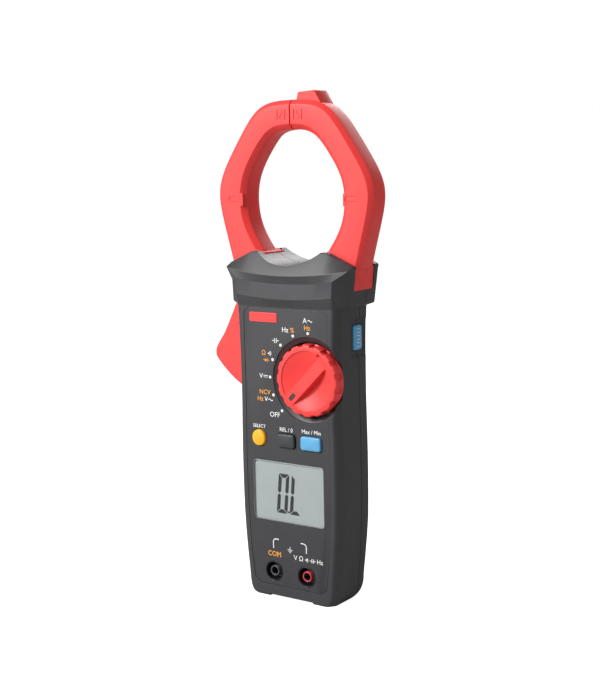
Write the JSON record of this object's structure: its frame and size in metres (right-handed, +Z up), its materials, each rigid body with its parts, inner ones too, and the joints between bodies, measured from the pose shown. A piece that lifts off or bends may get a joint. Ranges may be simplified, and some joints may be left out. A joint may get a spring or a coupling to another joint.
{
  "type": "clamp meter",
  "caption": "Hand-held clamp meter with a sprung opening jaw and trigger, rotary range dial, keys, display and shrouded input sockets.",
  "frame": {"origin": "centre of the flat base the meter stands on", "axes": "+Z up along the meter to the jaws, -Y out of the display, +X to the display's right"},
  "size_m": [0.111, 0.0407, 0.2854],
  "materials": {
    "case": "fine matt grain",
    "faceplate": "smooth satin",
    "badge": "satin",
    "lens": "clear",
    "display_glass": "satin",
    "black_plastic": "satin",
    "white_plastic": "satin",
    "strip_rubber": "matt",
    "board": "solder mask",
    "red_plastic": "satin",
    "rotor_plastic": "satin",
    "contact_brass": "polished",
    "steel": "zinc plated",
    "yellow_button": "satin",
    "dark_button": "satin",
    "blue_button": "satin",
    "core_steel": "laminated sheet edges",
    "coil_tape": "wound tape",
    "copper": "bright",
    "grey_plastic": "satin",
    "cell_wrap": "gloss"
  },
  "bodies": {
    "meter": {"front_case": "case", "rear_case": "case", "faceplate": "faceplate", "badge_plate": "badge", "display_lens": "lens", "display_glass": "display_glass", "display_frame": "black_plastic", "backlight": "white_plastic", "contact_strips": "strip_rubber", "main_board": "board", "board_parts": "black_plastic", "button_switches": "steel", "hold_switch": "board", "fixed_jaw_front": "red_plastic", "fixed_jaw_rear": "red_plastic", "fixed_core": "core_steel", "fixed_coil": "coil_tape", "sensor_plate": "copper", "pivot_pin": "steel", "return_spring": "steel", "com_socket": "black_plastic", "volt_socket": "black_plastic", "com_post": "grey_plastic", "volt_post": "red_plastic", "socket_sleeves": "contact_brass", "buzzer": "black_plastic", "battery_door": "case", "door_screw": "steel", "batteries": "cell_wrap", "battery_contacts": "steel", "case_screws": "steel", "board_screws": "steel"},
    "jaw_lever": {"moving_jaw_front": "red_plastic", "moving_jaw_rear": "red_plastic", "moving_core": "core_steel", "moving_coil": "coil_tape", "trigger": "red_plastic", "pivot_bush": "contact_brass"},
    "range_dial": {"dial": "red_plastic", "dial_pointer": "black_plastic", "dial_rotor": "rotor_plastic", "dial_wipers": "contact_brass", "detent_ball": "steel", "detent_spring": "steel"},
    "select_key": {"select_button": "yellow_button"},
    "relative_key": {"relative_button": "dark_button"},
    "minmax_key": {"minmax_button": "blue_button"},
    "hold_key": {"hold_button": "blue_button"}
  },
  "joints": [
    {"name": "jaw_hinge", "type": "hinge", "parent": "meter", "child": "jaw_lever", "pos_m": [-0.025, 0.0005, 0.172], "axis": [0, -1, 0], "range_deg": [0, 28], "stiffness_Nm_per_rad": 0.55, "springref_deg": -34.38},
    {"name": "range_turn", "type": "hinge", "parent": "meter", "child": "range_dial", "pos_m": [0.0154, -0.0133, 0.1282], "axis": [0, 1, 0], "range_deg": [0, 135]},
    {"name": "select_press", "type": "slide", "parent": "meter", "child": "select_key", "axis": [0, 1, 0], "range_m": [0, 0.0007], "stiffness_N_per_m": 600, "springref_m": -0.0008},
    {"name": "relative_press", "type": "slide", "parent": "meter", "child": "relative_key", "axis": [0, 1, 0], "range_m": [0, 0.0007], "stiffness_N_per_m": 600, "springref_m": -0.0008},
    {"name": "minmax_press", "type": "slide", "parent": "meter", "child": "minmax_key", "axis": [0, 1, 0], "range_m": [0, 0.0007], "stiffness_N_per_m": 600, "springref_m": -0.0008},
    {"name": "hold_press", "type": "slide", "parent": "meter", "child": "hold_key", "axis": [-1, 0, 0], "range_m": [0, 0.0007], "stiffness_N_per_m": 600, "springref_m": -0.0008}
  ]
}
